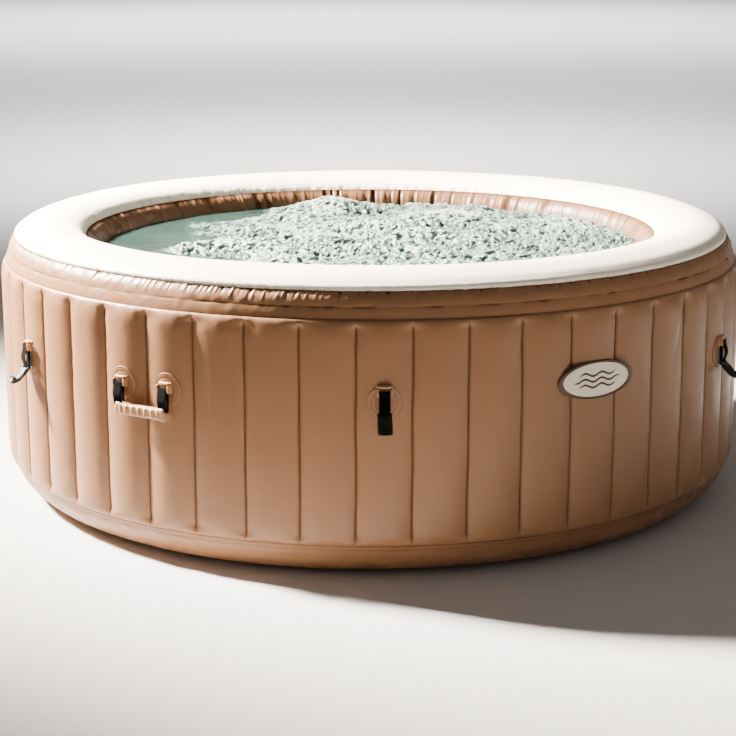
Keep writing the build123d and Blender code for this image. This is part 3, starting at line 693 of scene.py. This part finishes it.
def patch_disc(azimuth, z, x=0.0):
    """A round welded patch with pressed rings, lying on the rib under it."""
    rho = PATCH_R * np.array([0.0, 0.12, 0.25, 0.38, 0.5, 0.56, 0.6, 0.64, 0.7, 0.76, 0.8, 0.84,
                              0.89, 0.93, 0.96, 0.985, 1.0])
    theta = np.linspace(0, tau, 56, endpoint=False)
    angle, reach = np.meshgrid(theta, rho)
    px, pz = x + reach * np.cos(angle), z + reach * np.sin(angle)
    t = reach / PATCH_R
    height = 0.0016 + 0.0011 * np.exp(-(((t - 0.60) / 0.035) ** 2))
    height += 0.0010 * np.exp(-(((t - 0.82) / 0.03) ** 2))
    height += 0.0008 * np.exp(-(((t - 0.95) / 0.03) ** 2))
    height = height * (1 - smooth(0.975, 1.0, t)) - 0.0004 * smooth(0.985, 1.0, t)
    out = wall_out(px, pz, azimuth) + height
    mesh = grid_mesh("patch", np.stack([px, -out, pz], axis=-1), wrap_columns=True)
    # Painted shade round the patch's rim and in the groove between its pressed rings.
    set_shade(mesh, np.clip(0.7 * smooth(0.96, 1.0, t) + 0.35 * np.exp(-(((t - 0.72) / 0.04) ** 2)), 0, 1))
    return turned(mesh, azimuth)


def holder_mesh(out, z, x=0.0):
    """Moulded bar holder: rounded foot, two cheeks, a lip over the webbing, the bar and a rivet."""
    inside = WEBBING_WIDTH / 2 + 0.001
    cheek = 0.004
    face = out - 0.006
    rivet = [(0.0001, out + 0.0015), (0.0012, out + 0.0014), (0.0018, out + 0.0008), (0.0019, out)]
    parts = [
        soft_box(2 * (inside + cheek), face - 0.006, face, z - 0.009, z + 0.017, x, 0.0016),
        soft_box(2 * inside, face - 0.001, out + 0.0008, z + 0.0112, z + 0.0168, x, 0.0018, 4),
        side_rod(BAR_R, 2 * inside + cheek, out, z, x),
        lathe(rivet, (x, z + 0.0140)),
    ]
    for side in (-1, 1):
        parts.append(soft_box(cheek, face - 0.004, out + 0.0045, z - 0.0055, z + 0.0105,
                              x + side * (inside + cheek / 2), 0.0017, 4))
    return joined("holder", parts)


def buckle_mesh(out, bar_z):
    """Socket half of a side-release buckle, drawn hanging straight below its bar."""
    width, half, length = 0.033, 0.00575, 0.050
    top = bar_z - 0.006
    rows = 34
    t = np.linspace(0, 1, rows)
    theta = np.linspace(0, tau, 48, endpoint=False)
    ring = []
    for s in t:
        squeeze = 1 - 0.10 * np.exp(-(((s - 0.42) / 0.16) ** 2))
        cap = np.sqrt(np.clip(1 - (1 - np.clip(min(s, 1 - s) / 0.05, 0, 1)) ** 2, 0, 1)) * 0.3 + 0.7
        c, d = np.cos(theta), np.sin(theta)
        px = np.sign(c) * np.abs(c) ** 0.35 * width / 2 * squeeze * cap
        py = np.sign(d) * np.abs(d) ** 0.45 * half * cap
        flare = 0.010 * max(0.0, s - 0.55) ** 1.6 / 0.45**1.6
        ring.append(np.stack([px, -(out + py + flare), 0 * px + top - s * length], axis=-1))
    shell = grid_mesh("shell", np.array(ring)[::-1], wrap_columns=True)
    bm = bmesh.new()
    bm.from_mesh(shell)
    bm.verts.ensure_lookup_table()
    last = len(bm.verts)
    bm.faces.new([bm.verts[last - 1 - i] for i in range(48)])
    mouth = bm.faces.new([bm.verts[i] for i in range(48)])
    bmesh.ops.inset_individual(bm, faces=[mouth], thickness=0.0024, depth=0.0)
    bmesh.ops.translate(bm, vec=(0, 0, 0.016), verts=list(mouth.verts))
    bm.to_mesh(shell)
    bm.free()
    shell.shade_smooth()
    ribs = [soft_box(0.0022, out + half - 0.0012, out + half + 0.0011, top - 0.040, top - 0.010, x, 0.0007)
            for x in (-0.0075, 0.0, 0.0075)]
    latches = [soft_box(0.0032, out - 0.003, out + 0.003, top - 0.031, top - 0.013,
                        side * (width / 2 - 0.0012), 0.001) for side in (-1, 1)]
    cheeks = [soft_box(0.0035, out - 0.0034, out + 0.0034, top - 0.001, bar_z + 0.0034,
                       side * (width / 2 - 0.00175), 0.0012) for side in (-1, 1)]
    return joined("buckle", [shell, *ribs, *latches, *cheeks, side_rod(0.0022, width - 0.003, out, bar_z)])


def buckles():
    patches = []
    holders = []
    for i in range(1, 7):
        strap, clip = JOINTS[f"strap_{i}_swing"]["pos_m"], JOINTS[f"clip_{i}_swing"]["pos_m"]
        azimuth, out = azimuth_of(strap), out_of(strap)
        patches.append(patch_disc(azimuth, PATCH_Z))
        holders.append(turned(holder_mesh(out, strap[2]), azimuth))
        loop = ribbon(teardrop((out, strap[2]), (out, clip[2]), BAR_R + WEBBING * 0.7,
                               0.0022 + WEBBING * 0.7, 0.0055), WEBBING_WIDTH, WEBBING)
        add_object(f"buckle_loop_{i}", turned(loop, azimuth), MATERIALS["webbing"], f"strap_{i}",
                   [f"buckle_webbing_{i}"])
        body = buckle_mesh(out, clip[2])
        pivot = Matrix.Translation((0, -out, clip[2]))
        body.transform(pivot @ Matrix.Rotation(-BUCKLE_KICK, 4, "X") @ pivot.inverted())
        add_object(f"buckle_shell_{i}", turned(body, azimuth), MATERIALS["buckle"], f"clip_{i}",
                   [f"buckle_{i}"])
    add_object("buckle_patch_discs", keep_shade("patches", patches), MATERIALS["patch"], "tub",
               ["buckle_patches"])
    add_object("buckle_bar_holders", joined("holders", holders), MATERIALS["beige"], "tub",
               ["buckle_holders"])


def keep_shade(name, meshes):
    """Joined meshes that keep their painted shade values."""
    values = [np.array([d.value for d in mesh.attributes["painted_shade"].data]) for mesh in meshes]
    whole = joined(name, meshes)
    if "painted_shade" in whole.attributes:
        whole.attributes.remove(whole.attributes["painted_shade"])
    set_shade(whole, np.concatenate(values))
    return whole


def grip_mesh(out, z_low, z_high, length):
    """The hand grip: rounded bar, thicker end blocks, finger ridges on its face."""
    stations = 90
    s = np.linspace(-1, 1, stations)
    theta = np.linspace(0, tau, 40, endpoint=False)
    half_z, half_out = (z_high - z_low) / 2, 0.0095
    middle_z, middle_out = (z_high + z_low) / 2, out + 0.0015
    rows = []
    for at in s:
        end = 1 - abs(at)
        cap = np.sqrt(max(0.0, 1 - (1 - min(end / 0.06, 1)) ** 2)) * 0.5 + 0.5
        block = 0.86 + 0.14 * float(smooth(0.74, 0.82, abs(at)))
        c, d = np.cos(theta), np.sin(theta)
        pz = np.sign(c) * np.abs(c) ** 0.55 * half_z * cap * block
        py = np.sign(d) * np.abs(d) ** 0.6 * half_out * cap
        ridge = 0.0036 * max(0.0, cos(at / 0.78 * 3 * tau)) ** 1.5 * float(smooth(0.8, 0.72, abs(at)))
        face = np.clip(d, 0, 1) ** 2 * (1 - np.abs(c) ** 3)
        rows.append(np.stack([0 * pz + at * length / 2, -(middle_out + py + ridge * face),
                              middle_z + pz], axis=-1))
    return capped(grid_mesh("grip", np.array(rows)[::-1], wrap_columns=True), 40)


def capped(mesh, segments):
    """Closes both ends of a wound grid."""
    bm = bmesh.new()
    bm.from_mesh(mesh)
    bm.verts.ensure_lookup_table()
    last = len(bm.verts)
    bm.faces.new([bm.verts[segments - 1 - i] for i in range(segments)])
    bm.faces.new([bm.verts[last - segments + i] for i in range(segments)])
    bmesh.ops.recalc_face_normals(bm, faces=bm.faces)
    bm.to_mesh(mesh)
    bm.free()
    mesh.shade_smooth()
    return mesh


def handles():
    half_span = OUTER_R * sin(PITCH / 2)
    for i in (1, 2):
        pivot = JOINTS[f"handle_{i}_swing"]["pos_m"]
        azimuth, out, bar_z = azimuth_of(pivot), out_of(pivot), pivot[2]
        low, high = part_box(f"handle_grip_{i}")[LOW][2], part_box(f"handle_grip_{i}")[HIGH][2]
        patches = [patch_disc(azimuth + side * PITCH / 2, HANDLE_PATCH_Z) for side in (-1, 1)]
        add_object(f"handle_patch_discs_{i}", keep_shade("patches", patches), MATERIALS["patch"], "tub",
                   [f"handle_patches_{i}"])
        holders = [holder_mesh(out, bar_z, side * half_span) for side in (-1, 1)]
        add_object(f"handle_bar_holders_{i}", turned(joined("holders", holders), azimuth),
                   MATERIALS["beige"], "tub", [f"handle_holders_{i}"])
        path = teardrop((out, bar_z), (out + 0.001, high - 0.006),
                        BAR_R + WEBBING * 0.7, 0.004, 0.004)
        loops = [ribbon(path, WEBBING_WIDTH, WEBBING, side * half_span) for side in (-1, 1)]
        add_object(f"handle_loops_{i}", turned(joined("loops", loops), azimuth), MATERIALS["webbing"],
                   f"handle_{i}", [f"handle_webbing_{i}"])
        grip = grip_mesh(out, low, high, GRIP_LENGTH)
        add_object(f"handle_bar_{i}", turned(grip, azimuth), MATERIALS["beige"], f"handle_{i}",
                   [f"handle_grip_{i}"])


# ---- badge -----------------------------------------------------------------------------------
def badge():
    """A plain oval plaque: domed face, rounded rim and a generic row of waves."""
    low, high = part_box("badge_rim")
    middle_z, half_z = (low[2] + high[2]) / 2, (high[2] - low[2]) / 2
    base = OUTER_R + 0.0008

    def plaque(rho, height, name):
        theta = np.linspace(0, tau, 96, endpoint=False)
        angle, t = np.meshgrid(theta, np.array(rho))
        swing = BADGE_HALF_WIDTH * t * np.cos(angle) / OUTER_R
        z = middle_z + half_z * t * np.sin(angle)
        out = base + np.array(height)[:, None] + 0 * swing
        return grid_mesh(name, around(swing, out, z), wrap_columns=True)

    dome = 0.0011 + 0.0009 * (1 - np.linspace(0, 1, 14) ** 4)
    face = plaque(np.linspace(0.0, 0.88, 14), dome, "badge_face")
    rim = plaque([0.865, 0.87, 0.88, 0.905, 0.94, 0.97, 0.99, 1.0, 1.0],
                 [0.0, 0.0016, 0.0024, 0.0030, 0.0031, 0.0029, 0.0020, 0.0009, -0.002], "badge_border")
    add_object("badge_face", turned(face, BADGE_AZIMUTH), MATERIALS["badge_face"], "tub",
               ["badge_plate"])
    add_object("badge_border", turned(rim, BADGE_AZIMUTH), MATERIALS["badge_rim"], "tub",
               ["badge_rim"])
    waves = []
    for lift, reach in ((0.0135, 0.052), (0.0, 0.066), (-0.0135, 0.052)):
        along = np.linspace(-reach, reach, 70)
        taper = np.sqrt(np.clip(1 - (np.abs(along) / reach) ** 4, 0, 1))
        centre = middle_z + lift + 0.0038 * np.sin(along / 0.0075)
        rows = [around(along / OUTER_R, 0 * along + base + h, centre + side * 0.0030 * taper)
                for side, h in ((-1.0, 0.0014), (-0.8, 0.0026), (0.8, 0.0026), (1.0, 0.0014))]
        waves.append(grid_mesh("wave", np.array(rows)))
    add_object("badge_waves", turned(joined("waves", waves), BADGE_AZIMUTH), MATERIALS["badge_rim"], "tub",
               ())


# ---- carried-over CAD nodes ------------------------------------------------------------------
# floor_sheet and bubble_duct share the tan vinyl darkened as painted shade.
NODE_MATERIALS = {
    "floor_sheet": "shade_darkened_tan", "bubble_duct": "shade_darkened_tan", "wall_beams": "web", "air_riser": "pipe",
    "water_ducts": "pipe", "air_fitting": "port", "water_inlet_fitting": "port",
    "water_outlet_fitting": "port", "port_gaskets": "rubber", "inlet_strainer": "port",
    "outlet_strainer": "port", "valve_body": "beige", "valve_spider": "port", "valve_plunger": "port",
    "valve_cap": "beige", "drain_body": "port", "drain_cap": "port", "drain_plug": "rubber",
}


def finish_nodes():
    for node, name in NODE_MATERIALS.items():
        obj = frame["nodes"][node]
        for slot_ in obj.material_slots:
            slot_.material = MATERIALS[name]


# ---- stage -----------------------------------------------------------------------------------
def stage():
    bpy.ops.mesh.primitive_plane_add(size=400.0, location=(0, 0, 0))
    floor = bpy.context.object
    floor.name = "floor"
    n = Nodes("pale_floor")
    n.set(Base_Color=(0.54, 0.53, 0.52, 1.0), Roughness=0.9)
    floor.data.materials.append(n.material)
    world = bpy.data.worlds.new("studio")
    bpy.context.scene.world = world
    world.use_nodes = True
    world.node_tree.nodes["Background"].inputs["Color"].default_value = (1.0, 0.94, 0.86, 1.0)
    world.node_tree.nodes["Background"].inputs["Strength"].default_value = 0.26


def lamp(name, place, aim, size, power, colour, spread):
    light = bpy.data.lights.new(name, "AREA")
    light.size = size
    light.spread = radians(spread)
    light.energy = power
    light.color = colour
    obj = bpy.data.objects.new(name, light)
    bpy.context.scene.collection.objects.link(obj)
    obj.location = place
    obj.rotation_euler = (Vector(aim) - Vector(place)).to_track_quat("-Z", "Y").to_euler()


def seen_from(azimuth, elevation, distance, target):
    """A place at that distance from a target, at an azimuth and elevation in degrees."""
    flat = distance * cos(radians(elevation))
    return target + Vector((flat * sin(radians(azimuth)), -flat * cos(radians(azimuth)),
                            distance * sin(radians(elevation))))


def lights():
    tub = Vector((0, 0, 0.4))
    lamp("key", seen_from(-110, 38, 7.0, tub), tub, 0.9, 560.0, (1.0, 0.92, 0.82), 30)
    lamp("fill", seen_from(20, 30, 7.0, tub), tub, 5.0, 8.0, (1.0, 0.88, 0.76), 180)
    lamp("background", (0, 4.5, 5.0), (0, 8.5, 0), 3.0, 800.0, (1.0, 0.98, 0.95), 100)
    lamp("backdrop", (0, 26.0, 14.0), (0, 27.0, 0), 16.0, 7000.0, (1.0, 0.98, 0.95), 110)


def camera():
    """4.9 m back, 1.44 m up and a little to the left, so the front buckle is just right of the middle."""
    azimuth, back, height = radians(-1.86), 4.933, 1.436
    aim = Vector((-0.006, 0.0, 0.2755))
    data = bpy.data.cameras.new("camera")
    data.sensor_width, data.lens = 36.0, 90.4
    obj = bpy.data.objects.new("camera", data)
    bpy.context.scene.collection.objects.link(obj)
    obj.location = (back * sin(azimuth), -back * cos(azimuth), height)
    obj.rotation_euler = (aim - obj.location).to_track_quat("-Z", "Y").to_euler()
    bpy.context.scene.camera = obj


camera()
lights()
stage()
rib_wall()
shoulder()
lower_band()
top_cushion()
basin()
water()
buckles()
handles()
badge()
finish_nodes()
